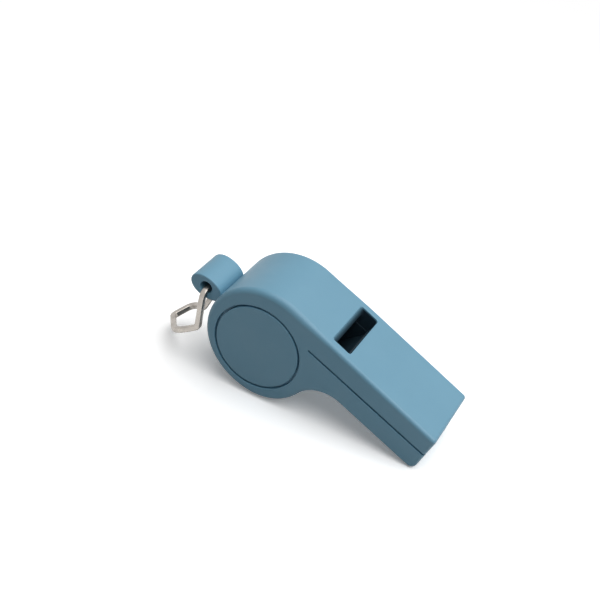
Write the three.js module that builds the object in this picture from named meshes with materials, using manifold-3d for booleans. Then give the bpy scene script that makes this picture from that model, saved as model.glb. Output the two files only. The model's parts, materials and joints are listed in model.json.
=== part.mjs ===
// A pea whistle for training dogs, in millimetres, +Z up, as it stands on a table. The round
// chamber and the lower front edge of the mouthpiece touch z = 0, and the mouth points along +X.
//
// The moulded pieces are drawn in the whistle's own frame and then tilted to stand. In that frame
// x runs along the flat top towards the mouth, y runs across, z is square to the top, and the
// origin is the centre of the round caps, in the middle of the width.

import * as THREE from "three";
import { mergeVertices } from "three/addons/utils/BufferGeometryUtils.js";
import Module from "manifold-3d";

// Driving dimensions: barrel and top
const bodyWidth = 15.4;
const barrelRadius = 11.75;
const barrelX = 0.8;
const barrelZ = 0.85;
const barrelWall = 1.6;
const topWall = 1.6;
const sideWall = 1.9;
const edgeRound = 0.85;

// Mouthpiece, with heights taken down from the flat top. The front leans out more above the seam
// than below it, and its upright corners are tighter than the other edges.
const mouthX = 33.65;
const upperRake = 15;
const lowerRake = 9;
const frontRound = 0.4;
const mouthTopRound = 0.7;
const mouthLowerRound = 1.5;
const mouthDepth = 9.18;
const underTaper = 0.74;
const neckFillet = 3.4;
const jawLand = 0.7;

// Seam between the upper and the lower jaw, with its shadow groove
const seamDepth = 4.69;
const seamTaper = 0.97;
const seamStart = 7.14;
const grooveHeight = 0.3;
const grooveDepth = 0.6;

// Window, its lip and the windway, whose slot at the mouth opens just above the seam
const windowX = 8.76;
const windowLength = 4.0;
const windowCorner = 0.5;
const lipRamp = 0.75;
const lipEdge = 0.25;
const windwayEntry = 1.9;
const windwaySill = 0.12;
const windwayExit = 1.15;
const blockPlay = 0.12;
const throatRise = 2.0;

// Round side caps
const capRadius = 8.35;
const capGroove = 0.3;
const capFlange = 0.9;
const capLedge = 1.0;
const capEdge = 0.12;
const glueFilm = 0.02;

// Lanyard lug at the back of the barrel
const lugAngle = 187;
const lugStandoff = 3.69;
const lugLength = 8.0;
const lugLong = 3.07;
const lugTall = 2.17;
const lugEdge = 0.25;
const lugWeb = 2.4;
const boreRadius = 1.26;
const boreOffset = 0.25;

// Wire clip through the lug's bore
const wireSize = 0.8;
const wireCorner = 0.2;
const wirePlay = 0.25;
const wireEndGap = 0.6;
const nearStand = 0.85;
const farStand = 1.12;
const nearDrop = 8.22;
const nearLean = 0.32;
const loopSlope = 28;
const loopReach = 9.59;
const loopSide = 1.17;
const loopShoulder = 4.88;
const loopPeak = 0.29;
const farShoulder = 7.55;
const loopFar = 4.52;
const farReach = 3.83;
const farAcross = 3.19;
const bendTight = 0.9;
const bendTip = 1.4;
const bendFar = 1.87;
const bendWide = 3.85;
const bendShare = 0.48;

// Pea
const peaRadius = 4.5;
const peaPlay = 0.3;

// Facets of the curved faces
const barrelSteps = 64;
const roundSteps = 4;
const holeSteps = 72;
const bendSteps = 8;
const peaSteps = 32;

// Sizes that follow from the driving ones
const degree = Math.PI / 180;
const topZ = barrelZ + barrelRadius;
const chamberRadius = barrelRadius - barrelWall;
const channelHalf = bodyWidth / 2 - sideWall;
const ceilingZ = topZ - topWall;
const windowEnd = windowX + windowLength;
const seatRadius = capRadius + capGroove;
const ledgeRadius = capRadius - capLedge;
const lugHalf = lugLength / 2;

// How far a cutting solid runs past what it cuts, the least radius of an inset corner, and how
// close two points are to be one
const beyond = 2;
const leastRound = 0.02;
const weld = 1e-4;

const wasm = await Module();
wasm.setup();

const plastic = new THREE.MeshStandardMaterial({ color: 0x5b8ca6, roughness: 0.5, metalness: 0 });
const steel = new THREE.MeshStandardMaterial({ color: 0xc9c4bc, roughness: 0.28, metalness: 1 });
const cork = new THREE.MeshStandardMaterial({ color: 0xb98a5a, roughness: 0.9, metalness: 0 });

// Turns a closed geometry into a solid that can be joined and cut.
function solidOf(geometry) {
  const bare = geometry.clone();
  bare.deleteAttribute("normal");
  bare.deleteAttribute("uv");
  const merged = mergeVertices(bare, weld);
  const vertProperties = merged.getAttribute("position").array;
  const triVerts = new Uint32Array(merged.index.array);
  return new wasm.Manifold(new wasm.Mesh({ numProp: 3, vertProperties, triVerts }));
}

function geometryOf(solid) {
  const mesh = solid.getMesh();
  const geometry = new THREE.BufferGeometry();
  geometry.setAttribute("position", new THREE.BufferAttribute(mesh.vertProperties, 3));
  geometry.setIndex(new THREE.BufferAttribute(mesh.triVerts, 1));
  geometry.computeVertexNormals();
  return geometry;
}

// A prism with an outline in the x-z plane, from y0 to y1 across the whistle.
function prismAcross(points, y0, y1) {
  const shape = new THREE.Shape(points.map(([x, z]) => new THREE.Vector2(x, z)));
  const geometry = new THREE.ExtrudeGeometry(shape, { depth: y1 - y0, bevelEnabled: false });
  geometry.rotateX(Math.PI / 2);
  geometry.translate(0, y1, 0);
  return solidOf(geometry);
}

// A cylinder across the whistle.
function roundAcross(radius, x, z, y0, y1) {
  const geometry = new THREE.CylinderGeometry(radius, radius, y1 - y0, holeSteps);
  geometry.translate(x, (y0 + y1) / 2, z);
  return solidOf(geometry);
}

function arcPoints(x, z, radius, from, to, steps) {
  const points = [];
  for (let i = 0; i <= steps; i += 1) {
    const angle = from + ((to - from) * i) / steps;
    points.push([x + radius * Math.cos(angle), z + radius * Math.sin(angle)]);
  }
  return points;
}

// Joins outlines with the same number of points, from near to far, into one body with flat ends.
function loft(layers) {
  const count = layers[0].outline.length;
  const positions = [];
  const index = [];
  for (const { outline, y } of layers) {
    for (const [x, z] of outline) positions.push(x, y, z);
  }
  for (let layer = 0; layer + 1 < layers.length; layer += 1) {
    for (let i = 0; i < count; i += 1) {
      const a = layer * count + i;
      const b = layer * count + ((i + 1) % count);
      index.push(a, a + count, b, b, a + count, b + count);
    }
  }
  const last = (layers.length - 1) * count;
  const flat = layers[0].outline.map(([x, z]) => new THREE.Vector2(x, z));
  for (const [a, b, c] of THREE.ShapeUtils.triangulateShape(flat, [])) {
    index.push(a, b, c, last + a, last + c, last + b);
  }
  const geometry = new THREE.BufferGeometry();
  geometry.setAttribute("position", new THREE.Float32BufferAttribute(positions, 3));
  geometry.setIndex(index);
  return solidOf(geometry);
}

// A slab of an outline, with both of its edges rounded over. outlineAt(inset) gives the outline
// drawn in by that much.
function roundedSlab(outlineAt, halfWidth, radius) {
  const near = [];
  for (let i = 0; i <= roundSteps; i += 1) {
    const angle = (Math.PI / 2) * (i / roundSteps);
    const outline = outlineAt(radius * (1 - Math.sin(angle)));
    near.push({ outline, y: -halfWidth + radius * (1 - Math.cos(angle)) });
  }
  const far = near.map(({ outline, y }) => ({ outline, y: -y })).reverse();
  return loft([...near, ...far]);
}

// Heights along the mouthpiece
const underZ = (x) => topZ - mouthDepth + x * Math.tan(underTaper * degree);
const seamZ = (x) => topZ - seamDepth + x * Math.tan(seamTaper * degree);

// Where two lines meet, each given by a point and a direction.
function meeting([ax, az], [ux, uz], [bx, bz], [vx, vz]) {
  const t = ((bx - ax) * vz - (bz - az) * vx) / (ux * vz - uz * vx);
  return [ax + ux * t, az + uz * t];
}

const along = (angle) => [Math.cos(angle), Math.sin(angle)];
const upright = (angle) => [-Math.sin(angle), Math.cos(angle)];
const under = underTaper * degree;
const upper = upperRake * degree;
const lower = lowerRake * degree;

// The front bends just under the seam's groove.
const underGroove = [0, seamZ(0) - grooveHeight];
const [bendX, bendZ] = meeting(underGroove, along(seamTaper * degree), [mouthX, topZ], upright(upper));
const clearX = bendX + beyond;

// Windway: the floor climbs from the seam to the window's lip, and the ceiling with it.
const share = (x) => (bendX - x) / (bendX - windowEnd);
const entryZ = seamZ(bendX) + windwaySill;
const windwayFloorZ = (x) => entryZ + (ceilingZ - windwayExit - entryZ) * share(x);
const windwayCeilingZ = (x) => entryZ + windwayEntry + (ceilingZ - windwayEntry - entryZ) * share(x);

// Centre of the fillet between the barrel and the underside of the mouthpiece: on a line below the
// underside, and outside the barrel by the fillet's radius.
function neckCentre() {
  const startZ = underZ(0) - neckFillet / Math.cos(under);
  const [ux, uz] = along(under);
  const towards = barrelX * ux + (barrelZ - startZ) * uz;
  const apart = barrelX ** 2 + (barrelZ - startZ) ** 2;
  const reach = barrelRadius + neckFillet;
  const t = towards + Math.sqrt(reach ** 2 - apart + towards ** 2);
  return [ux * t, startZ + uz * t];
}
const [neckX, neckZ] = neckCentre();
const neckAngle = Math.atan2(neckZ - barrelZ, neckX - barrelX);
const jawStart = neckX + jawLand;

// Centre of a front corner's round, between a line through (0, z) and one of the front's lines.
function cornerCentre(z, way, rake, off) {
  const [ox, oz] = along(rake);
  return meeting([0, z], way, [bendX - off * ox, bendZ - off * oz], upright(rake));
}
const lowerCorner = (inset, frontInset, radius) =>
  cornerCentre(underZ(0) + (inset + radius) / Math.cos(under), along(under), lower, frontInset + radius);
const upperCorner = (inset, frontInset, radius) =>
  cornerCentre(topZ - inset - radius, along(0), upper, frontInset + radius);

// The whole side outline of the whistle without its lug, drawn in by inset, and by less at the
// front, where the upright corners are tighter.
function sideOutline(inset) {
  const frontInset = (inset * frontRound) / edgeRound;
  const lowRadius = Math.max(mouthLowerRound - inset, leastRound);
  const topRadius = Math.max(mouthTopRound - inset, leastRound);
  const [lx, lz] = lowerCorner(inset, frontInset, lowRadius);
  const [tx, tz] = upperCorner(inset, frontInset, topRadius);
  const quarter = Math.PI / 2;
  return [
    ...arcPoints(barrelX, barrelZ, barrelRadius - inset, quarter, neckAngle + 4 * quarter, barrelSteps),
    ...arcPoints(neckX, neckZ, neckFillet + inset, neckAngle + 2 * quarter, quarter + under, bendSteps).slice(1),
    ...arcPoints(lx, lz, lowRadius, under - quarter, lower, roundSteps),
    [bendX - frontInset, bendZ],
    ...arcPoints(tx, tz, topRadius, upper, quarter, roundSteps),
  ];
}

// Lug position, from the barrel's axis
const lugTurn = lugAngle * degree;
const lugX = barrelX + (barrelRadius + lugStandoff) * Math.cos(lugTurn);
const lugZ = barrelZ + (barrelRadius + lugStandoff) * Math.sin(lugTurn);
const boreX = lugX - boreOffset * Math.cos(lugTurn);
const boreZ = lugZ - boreOffset * Math.sin(lugTurn);

// Oval outline of the lug, long towards the barrel.
function lugOutline(inset) {
  const points = [];
  for (let i = 0; i < holeSteps; i += 1) {
    const angle = (2 * Math.PI * i) / holeSteps;
    const out = (lugLong - inset) * Math.cos(angle);
    const up = (lugTall - inset) * Math.sin(angle);
    const x = lugX + out * Math.cos(lugTurn) - up * Math.sin(lugTurn);
    const z = lugZ + out * Math.sin(lugTurn) + up * Math.cos(lugTurn);
    points.push([x, z]);
  }
  return points;
}

function lug() {
  const head = roundedSlab(lugOutline, lugHalf, lugEdge);
  const rootX = barrelX + (barrelRadius - barrelWall / 2) * Math.cos(lugTurn);
  const rootZ = barrelZ + (barrelRadius - barrelWall / 2) * Math.sin(lugTurn);
  const sideX = (-Math.sin(lugTurn) * lugWeb) / 2;
  const sideZ = (Math.cos(lugTurn) * lugWeb) / 2;
  const web = [
    [lugX + sideX, lugZ + sideZ],
    [rootX + sideX, rootZ + sideZ],
    [rootX - sideX, rootZ - sideZ],
    [lugX - sideX, lugZ - sideZ],
  ];
  return head.add(prismAcross(web, -lugHalf + lugEdge, lugHalf - lugEdge));
}

const outer = roundedSlab(sideOutline, bodyWidth / 2, edgeRound);

// The space under the seam that belongs to the lower jaw, up to level lift above the seam.
function underSeam(startX, lift) {
  return prismAcross(
    [
      [startX, underZ(startX) - beyond],
      [clearX, underZ(startX) - beyond],
      [clearX, seamZ(clearX) + lift],
      [startX, seamZ(startX) + lift],
    ],
    -bodyWidth,
    bodyWidth,
  );
}

// Shadow groove along the seam, in both side faces.
function seamGrooves() {
  const half = grooveHeight / 2;
  const line = [
    [seamStart, seamZ(seamStart) - half],
    [clearX, seamZ(clearX) - half],
    [clearX, seamZ(clearX) + half],
    [seamStart, seamZ(seamStart) + half],
  ];
  const inner = bodyWidth / 2 - grooveDepth;
  return prismAcross(line, inner, bodyWidth).add(prismAcross(line, -bodyWidth, -inner));
}

// The air's way from the mouth to the window, above a floor.
function windway(floorAt) {
  const outline = [
    [windowEnd, floorAt(windowEnd)],
    [clearX, floorAt(clearX)],
    [clearX, windwayCeilingZ(clearX)],
    [windowEnd, ceilingZ],
  ];
  return prismAcross(outline, -channelHalf, channelHalf);
}

// The window in the top, with the lip's ramp on its chamber side.
function windowCut() {
  const lipX = windowX + lipRamp;
  const side = prismAcross(
    [
      [windowX - lipRamp, topZ + topWall],
      [windowX, topZ],
      [lipX, ceilingZ + lipEdge],
      [lipX, ceilingZ - topWall],
      [windowEnd, ceilingZ - topWall],
      [windowEnd, topZ + topWall],
    ],
    -channelHalf,
    channelHalf,
  );
  const plan = new THREE.Shape();
  const left = windowX;
  const right = windowEnd;
  const half = channelHalf;
  const r = windowCorner;
  plan.moveTo(left + r, -half);
  plan.lineTo(right - r, -half);
  plan.absarc(right - r, -half + r, r, -Math.PI / 2, 0, false);
  plan.lineTo(right, half - r);
  plan.absarc(right - r, half - r, r, 0, Math.PI / 2, false);
  plan.lineTo(left + r, half);
  plan.absarc(left + r, half - r, r, Math.PI / 2, Math.PI, false);
  plan.lineTo(left, -half + r);
  plan.absarc(left + r, -half + r, r, Math.PI, 1.5 * Math.PI, false);
  const settings = { depth: topWall + 2 * beyond, bevelEnabled: false, curveSegments: roundSteps };
  const shaft = new THREE.ExtrudeGeometry(plan, settings);
  shaft.translate(0, 0, ceilingZ - beyond);
  return side.intersect(solidOf(shaft));
}

// The throat joins the window and the windway's end to the chamber.
function throat() {
  const footZ = barrelZ + throatRise;
  const footX = barrelX + Math.sqrt(chamberRadius ** 2 - throatRise ** 2);
  const outline = [
    [barrelX, ceilingZ],
    [barrelX, footZ],
    [footX, footZ],
    [windowEnd, seamZ(windowEnd)],
    [windowEnd, ceilingZ],
  ];
  return prismAcross(outline, -channelHalf, channelHalf);
}

function bodyShell() {
  const chamber = roundAcross(chamberRadius, barrelX, barrelZ, -channelHalf, channelHalf);
  let body = outer.add(lug());
  body = body.subtract(chamber).subtract(throat()).subtract(windowCut());
  body = body.subtract(underSeam(jawStart, 0)).subtract(windway(seamZ)).subtract(seamGrooves());
  body = body.subtract(roundAcross(boreRadius, boreX, boreZ, -lugLength, lugLength));
  for (const side of [-1, 1]) {
    const face = (side * bodyWidth) / 2;
    const seat = face - side * capFlange;
    const inside = face - side * (sideWall + beyond);
    const outside = face + side * beyond;
    body = body.subtract(roundAcross(seatRadius, 0, 0, Math.min(seat, outside), Math.max(seat, outside)));
    body = body.subtract(roundAcross(ledgeRadius, 0, 0, Math.min(inside, outside), Math.max(inside, outside)));
  }
  return body;
}

// The lower jaw: the underside of the mouthpiece with the block that makes the windway's floor.
function lowerJaw() {
  const startX = jawStart + glueFilm;
  const shell = outer.intersect(underSeam(startX, -glueFilm)).subtract(seamGrooves());
  const half = channelHalf - blockPlay;
  const raised = [
    [windowEnd, seamZ(windowEnd) + glueFilm],
    [startX, seamZ(startX) + glueFilm],
    [startX, seamZ(startX) - grooveDepth],
    [clearX, seamZ(clearX) - grooveDepth],
    [clearX, windwayFloorZ(clearX)],
    [windowEnd, windwayFloorZ(windowEnd)],
  ];
  const block = prismAcross(raised, -half, half).intersect(outer);
  return shell.add(block).subtract(windway(windwayFloorZ));
}

// A round cap: a flange in the side's counterbore and a spigot in the hole behind it.
function sideCap(side) {
  const flangeBack = sideWall - capFlange + glueFilm;
  const spigot = ledgeRadius - capGroove;
  const profile = [
    [0, 0],
    [spigot, 0],
    [spigot, flangeBack],
    [capRadius, flangeBack],
    [capRadius, sideWall - capEdge],
    [capRadius - capEdge, sideWall],
    [0, sideWall],
  ];
  const geometry = new THREE.LatheGeometry(
    profile.map(([r, y]) => new THREE.Vector2(r, y)),
    holeSteps,
  );
  geometry.translate(0, channelHalf, 0);
  if (side < 0) geometry.rotateX(Math.PI);
  return geometryOf(solidOf(geometry));
}

// How the whistle stands: a line under the barrel and under the mouth's lower corner.
const restTilt = (() => {
  const [x, z] = lowerCorner(0, 0, mouthLowerRound);
  const away = Math.hypot(x - barrelX, z - barrelZ);
  return Math.atan2(z - barrelZ, x - barrelX) + Math.asin((barrelRadius - mouthLowerRound) / away);
})();
const standing = ([x, z]) => [
  x * Math.cos(restTilt) + z * Math.sin(restTilt),
  -x * Math.sin(restTilt) + z * Math.cos(restTilt),
];

// A path of straight runs with a bend at each corner, as points close enough to sweep along.
function bentPath(corners) {
  const points = [];
  corners.forEach(({ at, bend }, i) => {
    if (!bend) {
      points.push(at);
      return;
    }
    const before = corners[i - 1].at.clone().sub(at);
    const after = corners[i + 1].at.clone().sub(at);
    const opening = before.angleTo(after);
    const most = bendShare * Math.min(before.length(), after.length());
    const back = Math.min(bend / Math.tan(opening / 2), most);
    const start = at.clone().add(before.setLength(back));
    const end = at.clone().add(after.setLength(back));
    points.push(...new THREE.QuadraticBezierCurve3(start, at, end).getPoints(bendSteps));
  });
  return points;
}

// Sweeps a square wire with eased corners along points, without letting it twist.
function sweepWire(points, size, easing, firstSide) {
  const half = size / 2;
  const flat = half - easing;
  const section = [
    [half, -flat],
    [half, flat],
    [flat, half],
    [-flat, half],
    [-half, flat],
    [-half, -flat],
    [-flat, -half],
    [flat, -half],
  ];
  const count = section.length;
  const positions = [];
  const index = [];
  let side = firstSide.clone();
  points.forEach((point, i) => {
    const before = points[Math.max(i - 1, 0)];
    const after = points[Math.min(i + 1, points.length - 1)];
    const tangent = after.clone().sub(before).normalize();
    side = side.addScaledVector(tangent, -side.dot(tangent)).normalize();
    const up = tangent.clone().cross(side);
    for (const [a, b] of section) {
      const p = point.clone().addScaledVector(side, a).addScaledVector(up, b);
      positions.push(p.x, p.y, p.z);
    }
  });
  for (let ring = 0; ring + 1 < points.length; ring += 1) {
    for (let i = 0; i < count; i += 1) {
      const a = ring * count + i;
      const b = ring * count + ((i + 1) % count);
      index.push(a, b, a + count, b, b + count, a + count);
    }
  }
  const last = (points.length - 1) * count;
  for (let i = 1; i + 1 < count; i += 1) {
    index.push(0, i + 1, i, last, last + i, last + i + 1);
  }
  const geometry = new THREE.BufferGeometry();
  geometry.setAttribute("position", new THREE.Float32BufferAttribute(positions, 3));
  geometry.setIndex(index);
  geometry.computeVertexNormals();
  return geometry;
}

// The wire clip about the bore's axis. Its two ends meet inside the bore, a leg hangs from each
// end of the lug, and the loop slopes down and away from the whistle.
function lanyardClip() {
  const wireReach = (wireSize / 2 - wireCorner) * Math.SQRT2 + wireCorner;
  const sag = boreRadius - wireReach - wirePlay;
  const slope = loopSlope * degree;
  const nearY = -lugHalf - nearStand;
  const farY = lugHalf + farStand;
  const point = (away, y, z) => new THREE.Vector3(-away, y, z);
  const onLoop = (reach, y) =>
    point(nearLean + reach * Math.cos(slope), y, -sag - nearDrop - reach * Math.sin(slope));
  const corners = [
    { at: point(0, -wireEndGap / 2, -sag) },
    { at: point(0, nearY, -sag), bend: bendTight },
    { at: onLoop(0, nearY), bend: bendTight },
    { at: onLoop(loopShoulder, nearY - loopSide), bend: bendWide },
    { at: onLoop(loopReach, loopPeak), bend: bendTip },
    { at: onLoop(farShoulder, loopFar), bend: bendFar },
    { at: onLoop(farReach, farAcross), bend: bendTight },
    { at: point(0, farY, -sag), bend: bendTight },
    { at: point(0, wireEndGap / 2, -sag) },
  ];
  return sweepWire(bentPath(corners), wireSize, wireCorner, point(-1, 0, 0));
}

function named(name, geometry, material) {
  const mesh = new THREE.Mesh(geometry, material);
  mesh.name = name;
  return mesh;
}

const moulded = new THREE.Group();
moulded.rotation.y = restTilt;
moulded.add(
  named("body_shell", geometryOf(bodyShell()), plastic),
  named("lower_jaw", geometryOf(lowerJaw()), plastic),
  named("side_cap_near", sideCap(-1), plastic),
  named("side_cap_far", sideCap(1), plastic),
);

const [axisX, axisZ] = standing([barrelX, barrelZ]);
const pea = named("pea", new THREE.SphereGeometry(peaRadius, peaSteps, peaSteps / 2), cork);
pea.position.set(axisX, 0, axisZ - (chamberRadius - peaRadius - peaPlay));

const [hangX, hangZ] = standing([boreX, boreZ]);
const clip = named("lanyard_clip", lanyardClip(), steel);
clip.position.set(hangX, 0, hangZ);

const placed = new THREE.Group();
placed.add(moulded, pea, clip);

// Stand the whistle on z = 0, with the middle of its length and width over the origin.
const box = new THREE.Box3().setFromObject(placed, true);
placed.position.set(-(box.min.x + box.max.x) / 2, -(box.min.y + box.max.y) / 2, -box.min.z);

const whistle = new THREE.Group();
whistle.name = "pea_whistle";
whistle.add(placed);

export default whistle;
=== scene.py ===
import json
import math

import bmesh
import bpy
from mathutils import Matrix, Vector, noise


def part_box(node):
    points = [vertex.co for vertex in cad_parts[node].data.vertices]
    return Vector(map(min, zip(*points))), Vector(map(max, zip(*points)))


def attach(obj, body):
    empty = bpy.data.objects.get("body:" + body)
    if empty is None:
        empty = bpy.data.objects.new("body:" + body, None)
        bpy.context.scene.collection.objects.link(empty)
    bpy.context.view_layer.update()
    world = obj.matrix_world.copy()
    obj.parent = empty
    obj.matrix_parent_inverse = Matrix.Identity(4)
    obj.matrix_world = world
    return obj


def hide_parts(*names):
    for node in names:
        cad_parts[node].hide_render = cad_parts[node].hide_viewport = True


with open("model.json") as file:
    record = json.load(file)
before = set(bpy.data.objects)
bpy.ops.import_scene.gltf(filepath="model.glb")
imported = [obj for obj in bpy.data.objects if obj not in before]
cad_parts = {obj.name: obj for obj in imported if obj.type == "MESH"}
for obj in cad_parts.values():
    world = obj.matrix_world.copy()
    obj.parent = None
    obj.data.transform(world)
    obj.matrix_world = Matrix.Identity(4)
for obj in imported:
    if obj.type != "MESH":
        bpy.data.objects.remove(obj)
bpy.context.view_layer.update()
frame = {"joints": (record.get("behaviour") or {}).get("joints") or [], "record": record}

# A pea whistle for training dogs. The moulded pieces are drawn in millimetres in the whistle's own
# frame: x along the flat top towards the mouth, y across, z square to the top, and the origin in
# the centre of the round caps. They are then stood on the table and turned to metres.
MM = 0.001
DEGREE = math.pi / 180
QUARTER = math.pi / 2

# Barrel and top
body_width = 15.4
orbit_x = 0.8
orbit_z = 0.85
chamber_radius = 9.75
barrel_radius = 11.6
barrel_x = 0.5
barrel_z = 1.0
top_wall = 1.6
side_wall = 1.9
edge_round = 0.72
rim_round = 0.85
rim_full = 1.25
rim_blend = 12.0
under_start = -80 * DEGREE
under_draw = 1.0

# Mouthpiece, with heights taken down from the flat top
mouth_x = 34.0
upper_rake = 6 * DEGREE
lower_rake = 7 * DEGREE
front_round = 0.6
mouth_top_round = 0.7
mouth_lower_round = 1.4
mouth_depth = 9.18
under_taper = 0.74 * DEGREE
neck_fillet = 6.6
jaw_land = 0.7

# Seam and its shadow groove
seam_depth = 4.69
seam_taper = 0.97 * DEGREE
seam_start = 7.14
groove_height = 0.4
groove_depth = 0.6

# Window, lip and windway
window_x = 8.76
window_length = 4.0
window_corner = 0.5
window_ease = 0.15
lip_ramp = 1.05
lip_edge = 0.25
windway_entry = 1.9
windway_sill = 0.12
windway_exit = 1.15
throat_rise = 2.0

# Round side caps
cap_radius = 8.3
cap_groove = 0.42
cap_flange = 0.9
cap_ledge = 1.0
cap_edge = 0.12

# Lanyard lug
lug_angle = 187 * DEGREE
lug_reach = 15.44
lug_root = 3.7
lug_length = 8.3
lug_long = 3.15
lug_tall = 2.22
lug_edge = 0.25
lug_full = 2.1
lug_web = 1.5
lug_web_inset = 0.7
bore_radius = 1.26
bore_offset = 0.25

# Wire clip
wire_size = 1.12
wire_corner = 0.25
wire_sag = 0.53
wire_end_gap = 0.6
near_stand = 0.85
far_stand = 1.12
near_drop = 8.22
near_lean = 0.32
loop_slope = 28 * DEGREE
loop_reach = 9.59
loop_side = 1.17
loop_shoulder = 4.88
loop_peak = 0.29
far_shoulder = 7.55
loop_far = 4.52
far_reach = 3.83
far_across = 3.19
bend_tight = 0.9
bend_near = 2.0
bend_tip = 1.4
bend_far = 1.87
bend_wide = 3.85
bend_share = 0.48

# Pea: a ball of cork whose grain and pits are drawn in from its round
pea_radius = 4.5
pea_splits = 5
pea_skin = 0.05
grain_broad = 6
grain_fine = 14
grain_broad_share = 0.5
grain_fine_share = 0.3
grain_depth = 0.06
pit_spread = 9
pit_place = Vector((3, 1, 7))
pit_from = 0.32
pit_depth = 0.9

# Softness of moulded lips
lip_round = 0.08
window_lip = 0.1

# How finely curves are cut
barrel_steps = 160
round_steps = 8
hole_steps = 128
bend_steps = 16
top_steps = 24
lip_steps = 4
window_steps = 6
cap_edge_steps = 5
wire_steps = 4

# How far cutting shapes run past what they cut, the least rounding and the thinnest face kept
beyond = 2.0
seam_overcut = 0.02
least_round = 0.02
hair = 0.004

# Where the painted shade on the inner walls starts and ends: past the channel's sides and the
# throat's foot, round the chamber, down from the top, before the lip and past the window's end
shade_edge = 0.05
shade_gone = 0.1
chamber_edge = 0.2
chamber_gone = 0.4
shade_start = 0.12
shade_full = 0.5
lip_lead = 0.3
end_edge = 0.2
end_gone = 0.25

# Sizes that follow
top_z = barrel_z + barrel_radius
under_radius = barrel_radius - under_draw
under_x = barrel_x + under_draw * math.cos(under_start)
under_lift = barrel_z + under_draw * math.sin(under_start)
channel_half = body_width / 2 - side_wall
ceiling_z = top_z - top_wall
window_end = window_x + window_length
seat_radius = cap_radius + cap_groove
ledge_radius = cap_radius - cap_ledge
lug_half = lug_length / 2
bore_lip = lug_edge / 2
body_half = body_width / 2


# Where the whistle stands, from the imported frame

def joint_at(name):
    found = [j for j in frame["joints"] if j["name"] == name]
    return Vector(found[0]["pos_m"])


def mount(name):
    return [m for m in frame["record"]["mounts"] if m["name"] == name][0]


orbit_axis = joint_at("pea_orbit")
bore_axis = joint_at("clip_swing")
top_normal = Vector(mount("mouthpiece_top")["axis"])
rest_tilt = math.atan2(top_normal.x, top_normal.z)
turn = Matrix.Rotation(rest_tilt, 4, "Y")
shift = orbit_axis - turn @ (Vector((orbit_x, 0, orbit_z)) * MM)
standing = Matrix.Translation(shift) @ turn @ Matrix.Scale(MM, 4)


# Camera, in the whistle's own frame: where it is, what it looks at, and which way is up in it

camera_at = Vector((4.41, -154.36, 142.97))
camera_aim = Vector((-0.07, 0.28, 8.47))
camera_up = Vector((-0.681, 0.469, 0.562))
camera_lens = 68.38
camera_near = 0.01


def make_camera():
    back = (turn @ (camera_at - camera_aim)).normalized()
    side = (turn @ camera_up).cross(back).normalized()
    up = back.cross(side)
    data = bpy.data.cameras.new("camera")
    data.lens = camera_lens
    data.clip_start = camera_near
    camera = bpy.data.objects.new("camera", data)
    axes = Matrix((side, up, back)).transposed().to_4x4()
    camera.matrix_world = Matrix.Translation(standing @ camera_at) @ axes
    bpy.context.scene.collection.objects.link(camera)
    bpy.context.scene.camera = camera


make_camera()


# Outlines

def arc(x, z, radius, start, end, steps):
    angles = [start + (end - start) * i / steps for i in range(steps + 1)]
    return [(x + radius * math.cos(a), z + radius * math.sin(a)) for a in angles]


def meeting(a, u, b, v):
    """Where two lines meet, each given by a point and a direction."""
    t = ((b[0] - a[0]) * v[1] - (b[1] - a[1]) * v[0]) / (u[0] * v[1] - u[1] * v[0])
    return a[0] + u[0] * t, a[1] + u[1] * t


def along(angle):
    return math.cos(angle), math.sin(angle)


def upright(angle):
    return -math.sin(angle), math.cos(angle)


def under_z(x):
    return top_z - mouth_depth + x * math.tan(under_taper)


def seam_z(x):
    return top_z - seam_depth + x * math.tan(seam_taper)


bend_x, bend_z = meeting(
    (0, seam_z(0) - groove_height), along(seam_taper), (mouth_x, top_z), upright(upper_rake)
)
clear_x = bend_x + beyond
entry_z = seam_z(bend_x) + windway_sill


def climb(x):
    return (bend_x - x) / (bend_x - window_end)


def windway_floor(x):
    return entry_z + (ceiling_z - windway_exit - entry_z) * climb(x)


def below_seam(x):
    return seam_z(x) - seam_overcut


def windway_ceiling(x):
    return entry_z + windway_entry + (ceiling_z - windway_entry - entry_z) * climb(x)


def neck_centre():
    start_z = under_z(0) - neck_fillet / math.cos(under_taper)
    ux, uz = along(under_taper)
    towards = under_x * ux + (under_lift - start_z) * uz
    apart = under_x**2 + (under_lift - start_z) ** 2
    reach = under_radius + neck_fillet
    t = towards + math.sqrt(reach**2 - apart + towards**2)
    return ux * t, start_z + uz * t


neck_x, neck_z = neck_centre()
neck_angle = math.atan2(neck_z - under_lift, neck_x - under_x)
jaw_start = neck_x + jaw_land


def corner_centre(z, way, rake, off):
    ox, oz = along(rake)
    return meeting((0, z), way, (bend_x - off * ox, bend_z - off * oz), upright(rake))


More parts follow.
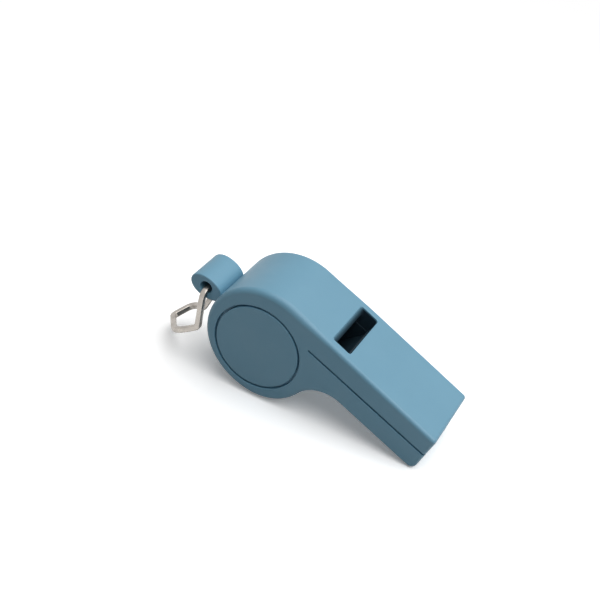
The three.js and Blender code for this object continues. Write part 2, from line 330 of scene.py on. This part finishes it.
def side_outline(inset):
    """The whistle's side outline without its lug, drawn in by inset, and by less at the front."""
    front = inset * front_round / edge_round
    low = max(mouth_lower_round - inset, least_round)
    top = max(mouth_top_round - inset, least_round)
    low_z = under_z(0) + (inset + low) / math.cos(under_taper)
    lx, lz = corner_centre(low_z, along(under_taper), lower_rake, front + low)
    tx, tz = corner_centre(top_z - inset - top, along(0), upper_rake, front + top)
    neck_from, neck_to = neck_angle + 2 * QUARTER, QUARTER + under_taper
    under_from, under_to = under_start + 4 * QUARTER, neck_angle + 4 * QUARTER
    points = arc(barrel_x, barrel_z, barrel_radius - inset, QUARTER, under_from, barrel_steps)
    points += arc(under_x, under_lift, under_radius - inset, under_from, under_to, bend_steps)[1:]
    points += arc(neck_x, neck_z, neck_fillet + inset, neck_from, neck_to, bend_steps)[1:]
    points += arc(lx, lz, low, under_taper - QUARTER, lower_rake, round_steps)
    points.append((bend_x - front, bend_z))
    points += arc(tx, tz, top, upper_rake, QUARTER, round_steps)
    for i in range(1, top_steps):
        points.append((tx + (barrel_x - tx) * i / top_steps, top_z - inset))
    return points


lug_x = orbit_x + lug_reach * math.cos(lug_angle)
lug_z = orbit_z + lug_reach * math.sin(lug_angle)
bore_x = lug_x - bore_offset * math.cos(lug_angle)
bore_z = lug_z - bore_offset * math.sin(lug_angle)


def lug_outline(inset):
    points = []
    for i in range(hole_steps):
        angle = 2 * math.pi * i / hole_steps
        out, up = math.cos(angle), math.sin(angle)
        if out > 0:
            out *= lug_long - inset
        else:
            out = (inset - lug_root) * abs(out) ** (2 / lug_full)
            up = math.copysign(abs(up) ** (2 / lug_full), up)
        up *= lug_tall - inset
        x = lug_x + out * math.cos(lug_angle) - up * math.sin(lug_angle)
        z = lug_z + out * math.sin(lug_angle) + up * math.cos(lug_angle)
        points.append((x, z))
    return points


# Solids, as Blender objects in millimetres that are cut and joined before they are placed

def solid(name, vertices, faces):
    mesh = bpy.data.meshes.new(name)
    mesh.from_pydata(vertices, [], faces)
    form = bmesh.new()
    form.from_mesh(mesh)
    bmesh.ops.recalc_face_normals(form, faces=form.faces)
    form.to_mesh(mesh)
    form.free()
    made = bpy.data.objects.new(name, mesh)
    bpy.context.scene.collection.objects.link(made)
    return made


def stack(name, layers):
    """Joins rings with the same number of points into one body with flat ends."""
    count = len(layers[0])
    vertices = [point for layer in layers for point in layer]
    faces = []
    for k in range(len(layers) - 1):
        for i in range(count):
            a, b = k * count + i, k * count + (i + 1) % count
            faces.append((a, b, b + count, a + count))
    last = (len(layers) - 1) * count
    faces.append(tuple(range(count)))
    faces.append(tuple(range(last, last + count)))
    return solid(name, vertices, faces)


def slab(name, outline_at, half, radius, share_at=None):
    """A slab of an outline across the whistle, its edges rounded by a share that may vary."""
    near = []
    outer_points, inner_points = outline_at(0), outline_at(radius)
    for i in range(round_steps + 1):
        angle = QUARTER * i / round_steps
        ring = []
        for (x, z), (inner_x, inner_z) in zip(outer_points, inner_points):
            share = share_at(x, z) if share_at else 1
            inset = share * (1 - math.sin(angle))
            y = -half + radius * share * (1 - math.cos(angle))
            ring.append((x + (inner_x - x) * inset, y, z + (inner_z - z) * inset))
        near.append(ring)
    far = [[(x, -y, z) for x, y, z in ring] for ring in reversed(near)]
    return stack(name, near + far)


def prism(name, outline, y0, y1):
    return stack(name, [[(x, y, z) for x, z in outline] for y in (y0, y1)])


def turned(name, profile, x=0.0, z=0.0):
    """A body turned about an axis across the whistle, from (radius, y) points off the axis."""
    angles = [2 * math.pi * i / hole_steps for i in range(hole_steps)]
    return stack(
        name,
        [[(x + r * math.cos(a), y, z + r * math.sin(a)) for a in angles] for r, y in profile],
    )


def settle(piece):
    """Applies the piece's modifiers to its mesh."""
    graph = bpy.context.evaluated_depsgraph_get()
    mesh = bpy.data.meshes.new_from_object(piece.evaluated_get(graph))
    old = piece.data
    piece.modifiers.clear()
    piece.data = mesh
    bpy.data.meshes.remove(old)


def combine(piece, other, how):
    """Cuts, joins or meets a solid with another, which is used up."""
    step = piece.modifiers.new("combine", "BOOLEAN")
    step.operation = how
    step.solver = "EXACT"
    step.object = other
    settle(piece)
    bpy.data.objects.remove(other)
    return piece


def cut(piece, other):
    return combine(piece, other, "DIFFERENCE")


def join(piece, other):
    return combine(piece, other, "UNION")


def meet(piece, other):
    return combine(piece, other, "INTERSECT")


def clean(piece):
    """Closes the hair-thin faces that cuts leave behind."""
    form = bmesh.new()
    form.from_mesh(piece.data)
    bmesh.ops.remove_doubles(form, verts=form.verts, dist=hair)
    bmesh.ops.dissolve_degenerate(form, edges=form.edges, dist=hair)
    form.to_mesh(piece.data)
    form.free()
    return piece


def flare(depth, radius):
    """How much wider a hole is at a depth below its rounded lip."""
    if depth >= radius:
        return 0.0
    return radius - math.sqrt(max(radius**2 - (radius - max(depth, 0.0)) ** 2, 0.0))


def lip_depths(radius):
    """Depths along a rounded lip, from the face down."""
    return [radius * (1 - math.cos(QUARTER * i / lip_steps)) for i in range(lip_steps + 1)]


def turned_hole(name, radius, face, floor, lip, x=0.0, z=0.0):
    """A round hole from a face across the whistle down to a floor, with a rounded lip."""
    inward = 1 if floor > face else -1
    profile = [(radius + flare(0, lip), face - inward * beyond)]
    profile += [(radius + flare(d, lip), face + inward * d) for d in lip_depths(lip)]
    profile.append((radius, floor))
    return turned(name, profile, x, z)


# Cutting shapes of the mouthpiece

def under_seam(start, lift):
    outline = [
        (start, under_z(start) - beyond),
        (clear_x, under_z(start) - beyond),
        (clear_x, seam_z(clear_x) + lift),
        (start, seam_z(start) + lift),
    ]
    return prism("under_seam", outline, -body_width, body_width)


def seam_groove(side):
    """The shadow groove along the seam in one side face, with rounded lips."""
    rings = []
    for depth in [-beyond] + lip_depths(lip_round) + [groove_depth]:
        wide = groove_height / 2 + flare(depth, lip_round)
        start = seam_start - flare(depth, lip_round)
        y = side * (body_half - depth)
        rings.append([
            (start, y, seam_z(start) - wide),
            (clear_x, y, seam_z(clear_x) - wide),
            (clear_x, y, seam_z(clear_x) + wide),
            (start, y, seam_z(start) + wide),
        ])
    return stack("seam_groove", rings)


def windway(floor):
    outline = [
        (window_end, floor(window_end)),
        (clear_x, floor(clear_x)),
        (clear_x, windway_ceiling(clear_x)),
        (window_end, ceiling_z),
    ]
    return prism("windway", outline, -channel_half, channel_half)


def window_plan(left, grow):
    """A rounded rectangle in plan, from left to the windway's end, grown outwards."""
    x0, x1 = left - grow, window_end + window_ease + grow
    half = channel_half + window_ease + grow
    r = window_corner + grow
    points = []
    for cx, cy, start in (
        (x1 - r, half - r, 0),
        (x0 + r, half - r, 1),
        (x0 + r, -half + r, 2),
        (x1 - r, -half + r, 3),
    ):
        points += arc(cx, cy, r, start * QUARTER, (start + 1) * QUARTER, window_steps)
    return points


def window_cut():
    """The window, with the lip's ramp on its chamber side and rounded edges on top."""
    lip_x = window_x + lip_ramp
    lip_z = ceiling_z + lip_edge
    heights = [ceiling_z - beyond, ceiling_z, lip_z]
    heights += [top_z - d for d in reversed(lip_depths(window_lip))] + [top_z + beyond]
    rings = []
    for z in heights:
        share = min(max((z - lip_z) / (top_z - lip_z), 0), 1)
        left = lip_x - lip_ramp * share
        grow = flare(top_z - z, window_lip)
        rings.append([(x, y, z) for x, y in window_plan(left, grow)])
    return stack("window", rings)


def throat():
    foot_z = orbit_z + throat_rise
    foot_x = orbit_x + math.sqrt(chamber_radius**2 - throat_rise**2)
    outline = [
        (orbit_x, ceiling_z),
        (orbit_x, foot_z),
        (foot_x, foot_z),
        (window_end, seam_z(window_end)),
        (window_end, ceiling_z),
    ]
    return prism("throat", outline, -channel_half, channel_half)


def lug():
    head = slab("lug", lug_outline, lug_half, lug_edge)
    root = (chamber_radius + barrel_radius) / 2
    root_x = orbit_x + root * math.cos(lug_angle)
    root_z = orbit_z + root * math.sin(lug_angle)
    side_x = -math.sin(lug_angle) * lug_web / 2
    side_z = math.cos(lug_angle) * lug_web / 2
    web = [
        (lug_x + side_x, lug_z + side_z),
        (root_x + side_x, root_z + side_z),
        (root_x - side_x, root_z - side_z),
        (lug_x - side_x, lug_z - side_z),
    ]
    return join(head, prism("web", web, lug_web_inset - lug_half, lug_half - lug_web_inset))


def rim_share(x, z):
    """How much rounder the side edges are than edge_round: most above and below the barrel."""
    run = min(max((x - barrel_x) / rim_blend, 0), 1)
    eased = run * run * (3 - 2 * run)
    high = math.sin(math.atan2(z - barrel_z, x - barrel_x))
    radius = rim_round + (rim_full - rim_round) * high * high
    return 1 + (radius / edge_round - 1) * (1 - eased)


def outer(name):
    return slab(name, side_outline, body_half, edge_round, rim_share)


# Pieces

def make_body_shell():
    body = join(outer("shell"), lug())
    drum = [(chamber_radius, -channel_half), (chamber_radius, channel_half)]
    cut(body, turned("chamber", drum, orbit_x, orbit_z))
    cut(body, throat())
    cut(body, window_cut())
    cut(body, under_seam(jaw_start, 0))
    cut(body, windway(below_seam))
    for side in (-1, 1):
        face = side * body_half
        seat_floor = face - side * cap_flange
        ledge_end = face - side * (side_wall + beyond)
        lug_face = side * lug_half
        past = -side * bore_radius
        cut(body, seam_groove(side))
        cut(body, turned_hole("seat", seat_radius, face, seat_floor, lip_round))
        cut(body, turned("ledge", [(ledge_radius, face), (ledge_radius, ledge_end)]))
        cut(body, turned_hole("bore", bore_radius, lug_face, past, bore_lip, bore_x, bore_z))
    return clean(body)


def make_lower_jaw():
    jaw = meet(outer("jaw"), under_seam(jaw_start, 0))
    raised = [
        (window_end, seam_z(window_end)),
        (jaw_start, seam_z(jaw_start)),
        (jaw_start, seam_z(jaw_start) - groove_depth),
        (clear_x, seam_z(clear_x) - groove_depth),
        (clear_x, windway_floor(clear_x)),
        (window_end, windway_floor(window_end)),
    ]
    block = meet(prism("block", raised, -channel_half, channel_half), outer("around"))
    join(jaw, block)
    cut(jaw, windway(windway_floor))
    for side in (-1, 1):
        cut(jaw, seam_groove(side))
    return clean(jaw)


def make_side_cap(name, side):
    flange_back = body_half - cap_flange
    spigot = ledge_radius - cap_groove
    profile = [(spigot, channel_half), (spigot, flange_back), (cap_radius, flange_back)]
    middle_r, middle_y = cap_radius - cap_edge, body_half - cap_edge
    profile += arc(middle_r, middle_y, cap_edge, 0, QUARTER, cap_edge_steps)
    return turned(name, [(r, side * y) for r, y in profile])


def make_pea():
    form = bmesh.new()
    bmesh.ops.create_icosphere(form, subdivisions=pea_splits, radius=pea_radius)
    for vertex in form.verts:
        way = vertex.co.normalized()
        grain = noise.noise(way * grain_broad) * grain_broad_share
        grain += noise.noise(way * grain_fine) * grain_fine_share
        pit = max(noise.noise(way * pit_spread + pit_place) - pit_from, 0)
        vertex.co -= way * (pea_skin + grain_depth * grain + pit_depth * pit)
    mesh = bpy.data.meshes.new("pea")
    form.to_mesh(mesh)
    form.free()
    made = bpy.data.objects.new("pea", mesh)
    bpy.context.scene.collection.objects.link(made)
    return made


def bent_path(corners):
    """Straight runs with a bend at each corner, from (place, bend) pairs."""
    points = []
    for i, (at, bend) in enumerate(corners):
        if not bend:
            points.append(at)
            continue
        before = corners[i - 1][0] - at
        after = corners[i + 1][0] - at
        most = bend_share * min(before.length, after.length)
        back = min(bend / math.tan(before.angle(after) / 2), most)
        start = at + before.normalized() * back
        end = at + after.normalized() * back
        for k in range(bend_steps + 1):
            t = k / bend_steps
            points.append(start.lerp(at, t).lerp(at.lerp(end, t), t))
    return points


def make_clip():
    """The bent wire, swept with a square section whose corners are round."""
    near_y, far_y = -lug_half - near_stand, lug_half + far_stand

    def place(away, y, z):
        return Vector((-away, y, z))

    def on_loop(out, y):
        drop = wire_sag + near_drop + out * math.sin(loop_slope)
        return place(near_lean + out * math.cos(loop_slope), y, -drop)

    path = bent_path([
        (place(0, -wire_end_gap / 2, -wire_sag), 0),
        (place(0, near_y, -wire_sag), bend_near),
        (on_loop(0, near_y), bend_tight),
        (on_loop(loop_shoulder, near_y - loop_side), bend_wide),
        (on_loop(loop_reach, loop_peak), bend_tip),
        (on_loop(far_shoulder, loop_far), bend_far),
        (on_loop(far_reach, far_across), bend_tight),
        (place(0, far_y, -wire_sag), bend_tight),
        (place(0, wire_end_gap / 2, -wire_sag), 0),
    ])
    half = wire_size / 2
    section = []
    for quadrant in range(4):
        a = QUARTER * quadrant + QUARTER / 2
        cx = math.copysign(half - wire_corner, math.cos(a))
        cy = math.copysign(half - wire_corner, math.sin(a))
        turn_from, turn_to = QUARTER * quadrant, QUARTER * (quadrant + 1)
        section += arc(cx, cy, wire_corner, turn_from, turn_to, wire_steps)
    rings = []
    lengths = []
    run = 0.0
    side = Vector((1, 0, 0))
    for i, point in enumerate(path):
        before, after = path[max(i - 1, 0)], path[min(i + 1, len(path) - 1)]
        tangent = (after - before).normalized()
        side = (side - tangent * side.dot(tangent)).normalized()
        up = tangent.cross(side)
        run += (point - before).length
        lengths.append(run)
        rings.append([tuple(point + side * a + up * b) for a, b in section])
    clip = stack("clip", rings)
    mark = clip.data.attributes.new("along", "FLOAT", "POINT")
    for i in range(len(clip.data.vertices)):
        mark.data[i].value = lengths[i // len(section)]
    return clip


# Materials: shader maths as Python expressions

class Value:
    """A node socket that Python's operators work on."""

    def __init__(self, sheet, socket):
        self.sheet = sheet
        self.socket = socket

    def math(self, operation, other=None, swap=False):
        pair = [self, other] if not swap else [other, self]
        return self.sheet.node("ShaderNodeMath", {"operation": operation},
                               {i: v for i, v in enumerate(pair) if v is not None})

    def __add__(self, other):
        return self.math("ADD", other)

    def __radd__(self, other):
        return self.math("ADD", other)

    def __sub__(self, other):
        return self.math("SUBTRACT", other)

    def __rsub__(self, other):
        return self.math("SUBTRACT", other, swap=True)

    def __mul__(self, other):
        return self.math("MULTIPLY", other)

    def __rmul__(self, other):
        return self.math("MULTIPLY", other)

    def __abs__(self):
        return self.math("ABSOLUTE")


class Sheet:
    """The nodes of one material or of the room."""

    def __init__(self, owner):
        owner.use_nodes = True
        self.owner = owner
        self.tree = owner.node_tree
        self.tree.nodes.clear()

    def node(self, kind, settings=None, inputs=None, output=0):
        """Adds a node: its settings first, then the values or links of its sockets."""
        made = self.tree.nodes.new(kind)
        for key, value in (settings or {}).items():
            setattr(made, key, value)
        for key, value in (inputs or {}).items():
            if isinstance(value, Value):
                self.tree.links.new(value.socket, made.inputs[key])
            else:
                made.inputs[key].default_value = value
        return Value(self, made.outputs[output])

    def place(self):
        return self.node("ShaderNodeTexCoord", output="Object")

    def noise(self, scale, detail, rough, at=None):
        return self.node("ShaderNodeTexNoise", {}, {
            "Vector": at or self.place(), "Scale": scale, "Detail": detail, "Roughness": rough,
        })

    def ramp(self, value, low, high):
        """0 below low, 1 above high and smooth between."""
        return self.node("ShaderNodeMapRange", {"interpolation_type": "SMOOTHSTEP"},
                         {"Value": value, "From Min": low, "From Max": high})

    def dot(self, vector, direction):
        inputs = {0: vector, 1: tuple(direction)}
        return self.node("ShaderNodeVectorMath", {"operation": "DOT_PRODUCT"}, inputs, "Value")

    def mix(self, share, first, second):
        inputs = {0: share, 6: first, 7: second}
        return self.node("ShaderNodeMix", {"data_type": "RGBA"}, inputs, output=2)

    def bump(self, height, distance, strength):
        inputs = {"Height": height, "Distance": distance, "Strength": strength}
        return self.node("ShaderNodeBump", {}, inputs)

    def seen(self):
        """1 for the camera and for what gloss and glass show, 0 for the light on the object."""
        rays = [self.node("ShaderNodeLightPath", output=f"Is {ray} Ray")
                for ray in ("Camera", "Glossy", "Transmission")]
        return self.ramp(rays[0] + rays[1] + rays[2], 0, 1)

    def surface(self, shader, output="ShaderNodeOutputMaterial"):
        out = self.tree.nodes.new(output)
        self.tree.links.new(shader.socket, out.inputs["Surface"])
        return self.owner

    def principled(self, **inputs):
        named = {key.replace("_", " "): value for key, value in inputs.items()}
        return self.surface(self.node("ShaderNodeBsdfPrincipled", {}, named))


def srgb(red, green, blue):
    """A colour from 0 to 255 values as a screen shows them."""
    def linear(v):
        v /= 255
        return v / 12.92 if v <= 0.04045 else ((v + 0.055) / 1.055) ** 2.4
    return (linear(red), linear(green), linear(blue), 1.0)


# Colours
blue = srgb(105, 153, 177)
deep_blue = srgb(97, 145, 169)
pale_blue = srgb(114, 162, 185)
painted_shade_blue = srgb(30, 48, 60)
# The dark blue painted on the inner walls as shade
nickel = srgb(178, 172, 165)
dull_nickel = srgb(142, 136, 130)
cork_brown = srgb(166, 122, 78)
cork_pale = srgb(205, 164, 116)
pore_brown = srgb(92, 60, 36)
bark_brown = srgb(70, 44, 28)

# The value that noise varies about. A larger scale below gives smaller marks, and each relief
# is in metres.
middle = 0.5

# Satin plastic
cloud_scale = 90
cloud_share = 0.55
fleck_scale = 2600
fleck_share = 0.18
fleck_rough = 0.08
handled_scale = 160
handled_polish = 0.07
grain_scale = 1500
grain_rise = 0.6
wave_scale = 220
wave_rise = 2.0
plastic_rough = 0.44
plastic_relief = 0.00002
plastic_strength = 0.35
plastic_ior = 1.47

# Plated wire
steel_scale = 3000
steel_grain = 0.1
dull_scale = 500
dull_share = 0.5
dull_rough = 0.1
band_rate = 0.7
band_rough = 0.06
steel_rough = 0.27
steel_relief = 0.00001
steel_strength = 0.3

# Cork
body_scale = 700
pore_scale = 1100
pore_share = 0.7
pore_sink = 0.8
bark_scale = 420
bark_share = 0.8
skin_scale = 1300
cork_rough = 0.85
cork_relief = 0.0001
cork_strength = 0.6


def painted_inner_shade(s):
    """Painted shade on the inner walls: 1 on the walls of the chamber, throat and window, 0 on the
    outer faces.
    """
    at = s.place()
    x_way, z_way = turn @ Vector((1, 0, 0)), turn @ Vector((0, 0, 1))
    x = s.dot(at, x_way / MM) - shift.dot(x_way) / MM
    z = s.dot(at, z_way / MM) - shift.dot(z_way) / MM
    y = abs(s.dot(at, (0, 1 / MM, 0)))
    wall = channel_half + window_ease
    within = 1 - s.ramp(y, wall + shade_edge, wall + shade_gone)
    far = (x - orbit_x) * (x - orbit_x) + (z - orbit_z) * (z - orbit_z)
    reach_edge = (chamber_radius + chamber_edge) ** 2
    reach_gone = (chamber_radius + chamber_gone) ** 2
    chamber = 1 - s.ramp(far, reach_edge, reach_gone)
    below = top_z - z
    foot = top_z - orbit_z - throat_rise
    above_foot = 1 - s.ramp(below, foot + shade_edge, foot + shade_gone)
    deep = s.ramp(below, shade_start, shade_full) * above_foot
    before_end = 1 - s.ramp(x, window_end + end_edge, window_end + end_gone)
    near_window = s.ramp(x, window_x - lip_lead, window_x + lip_ramp) * before_end
    return within * chamber.math("MAXIMUM", deep * near_window)


def moulded_plastic(name, seed):
    """Satin moulded plastic: faint flow clouding, fine texture, polished handled patches, and
    painted shade on the inner walls.
    """
    s = Sheet(bpy.data.materials.new(name))
    at = s.node("ShaderNodeVectorMath", {"operation": "ADD"}, {0: s.place(), 1: (seed, 0, 0)})
    cloud = s.noise(cloud_scale, detail=3, rough=0.55, at=at)
    fleck = s.noise(fleck_scale, detail=2, rough=0.6, at=at)
    patches = s.noise(handled_scale, detail=2, rough=0.5, at=at)
    handled = s.ramp(patches, low=0.45, high=0.7)
    tint = s.mix(cloud, deep_blue, pale_blue)
    tint = s.mix(cloud_share, blue, tint)
    tint = s.mix(s.ramp(fleck, low=0.62, high=0.78) * fleck_share, tint, pale_blue)
    # Painted shade: the walls of the chamber, throat and window are mixed towards a dark blue
    tint = s.mix(painted_inner_shade(s), tint, painted_shade_blue)
    rough = plastic_rough - handled * handled_polish + (fleck - middle) * fleck_rough
    grain = s.noise(grain_scale, detail=3, rough=0.6, at=at)
    wave = s.noise(wave_scale, detail=1, rough=0.4, at=at)
    height = grain * grain_rise + wave * wave_rise
    normal = s.bump(height, plastic_relief, plastic_strength)
    return s.principled(Base_Color=tint, Roughness=rough, Normal=normal, IOR=plastic_ior)


def clip_steel():
    """Nickel-plated wire: a fine grain, faint bands along it and duller, darker patches."""
    s = Sheet(bpy.data.materials.new("clip_steel"))
    run = s.node("ShaderNodeAttribute", {"attribute_name": "along"}, output="Fac")
    grain = s.noise(steel_scale, detail=2, rough=0.6)
    dull = s.ramp(s.noise(dull_scale, detail=2, rough=0.5), low=0.4, high=0.7)
    band = s.node("ShaderNodeTexNoise", {"noise_dimensions": "1D"}, {
        "W": run * band_rate, "Scale": 1.0, "Detail": 2.0,
    })
    tint = s.mix(dull * dull_share, nickel, dull_nickel)
    rough = steel_rough + dull * dull_rough
    rough = rough + (grain - middle) * steel_grain + (band - middle) * band_rough
    normal = s.bump(grain, steel_relief, steel_strength)
    return s.principled(Base_Color=tint, Metallic=1.0, Roughness=rough, Normal=normal)


def pea_cork():
    """Turned cork: warm tan with darker pores and bark flecks."""
    s = Sheet(bpy.data.materials.new("pea_cork"))
    body = s.mix(s.noise(body_scale, detail=4, rough=0.65), cork_brown, cork_pale)
    pores = s.ramp(s.noise(pore_scale, detail=3, rough=0.6), low=0.6, high=0.72)
    bark = s.ramp(s.noise(bark_scale, detail=3, rough=0.7), low=0.62, high=0.7)
    tint = s.mix(pores * pore_share, body, pore_brown)
    tint = s.mix(bark * bark_share, tint, bark_brown)
    skin = s.noise(skin_scale, detail=4, rough=0.7)
    normal = s.bump(skin - pores * pore_sink, cork_relief, cork_strength)
    return s.principled(Base_Color=tint, Roughness=cork_rough, Normal=normal)


# Dressing: places a finished solid on the table and hangs its looks on it

crease = 32
no_crease = 180
area_weight = 100


def dress(piece, body, node, material, matrix, smooth=crease, weighted=True):
    piece.data.transform(matrix)
    piece.name = node + "_skin"
    piece.data.materials.clear()
    piece.data.materials.append(material)
    for polygon in piece.data.polygons:
        polygon.use_smooth = True
    piece.data.set_sharp_from_angle(angle=smooth * DEGREE)
    if weighted:
        step = piece.modifiers.new("even_light", "WEIGHTED_NORMAL")
        step.keep_sharp = True
        step.weight = area_weight
    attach(piece, body)
    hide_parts(node)


shell_plastic = moulded_plastic("shell_plastic", seed=0.0)
jaw_plastic = moulded_plastic("jaw_plastic", seed=0.0)
cap_plastic = moulded_plastic("cap_plastic", seed=0.03)

hanging = Matrix.Translation(bore_axis) @ Matrix.Scale(MM, 4)
pea_low, pea_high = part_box("pea")
pea_place = Matrix.Translation((pea_low + pea_high) / 2) @ Matrix.Scale(MM, 4)

dress(make_body_shell(), "whistle", "body_shell", shell_plastic, standing)
dress(make_lower_jaw(), "whistle", "lower_jaw", jaw_plastic, standing)
dress(make_side_cap("near", -1), "whistle", "side_cap_near", cap_plastic, standing)
dress(make_side_cap("far", 1), "whistle", "side_cap_far", cap_plastic, standing)
dress(make_pea(), "pea", "pea", pea_cork(), pea_place, smooth=no_crease, weighted=False)
dress(make_clip(), "clip", "lanyard_clip", clip_steel(), hanging)


# Studio, in metres: a pale floor, a pale room and a soft key lamp overhead
room_light = 0.13
white = (1, 1, 1, 1)
floor_half = 1.5
floor_pale = (1.45, 1.45, 1.45, 1)
floor_white = (1.5, 1.5, 1.5, 1)
floor_dim = (0.26, 0.26, 0.26, 1)
floor_glow = 0.18
floor_clear = 0.06
floor_gone = 0.25
paper_scale = 900
paper_tooth = 0.1
key_at = Vector((0.18, 0.03, 0.5))
key_aim = Vector((0, 0, 0.01))
key_size = 0.8
key_power = 3.85


def make_floor():
    """A paper floor that keeps the shadow and fades to white with distance."""
    s = Sheet(bpy.data.materials.new("floor_paper"))
    tooth = (s.noise(paper_scale, detail=3, rough=0.6) - middle) * paper_tooth + middle
    paper = s.mix(tooth, floor_pale, floor_white)
    tint = s.mix(s.seen(), floor_dim, paper)
    lit = s.node("ShaderNodeBsdfDiffuse", {}, {"Color": tint})
    glow = s.node("ShaderNodeEmission", {}, {"Color": white})
    away = s.node("ShaderNodeVectorMath", {"operation": "LENGTH"}, {0: s.place()}, output="Value")
    fade = s.ramp(away, floor_clear, floor_gone) * (1 - floor_glow) + floor_glow
    material = s.surface(s.node("ShaderNodeMixShader", {}, {0: s.seen() * fade, 1: lit, 2: glow}))
    ways = ((-1, -1), (1, -1), (1, 1), (-1, 1))
    corners = [(x * floor_half, y * floor_half, 0) for x, y in ways]
    floor = solid("floor", corners, [(0, 1, 2, 3)])
    floor.data.materials.append(material)


def make_room():
    s = Sheet(bpy.data.worlds.new("room"))
    level = room_light + s.seen() * (1 - room_light)
    shader = s.node("ShaderNodeBackground", {}, {"Color": white, "Strength": level})
    bpy.context.scene.world = s.surface(shader, "ShaderNodeOutputWorld")


def make_key():
    data = bpy.data.lights.new("key", "AREA")
    data.shape = "DISK"
    data.size = key_size
    data.energy = key_power
    key = bpy.data.objects.new("key", data)
    key.location = key_at
    key.rotation_mode = "QUATERNION"
    key.rotation_quaternion = (key_aim - key_at).to_track_quat("-Z", "Y")
    bpy.context.scene.collection.objects.link(key)


make_floor()
make_room()
make_key()

view = bpy.context.scene.view_settings
view.view_transform = "Standard"
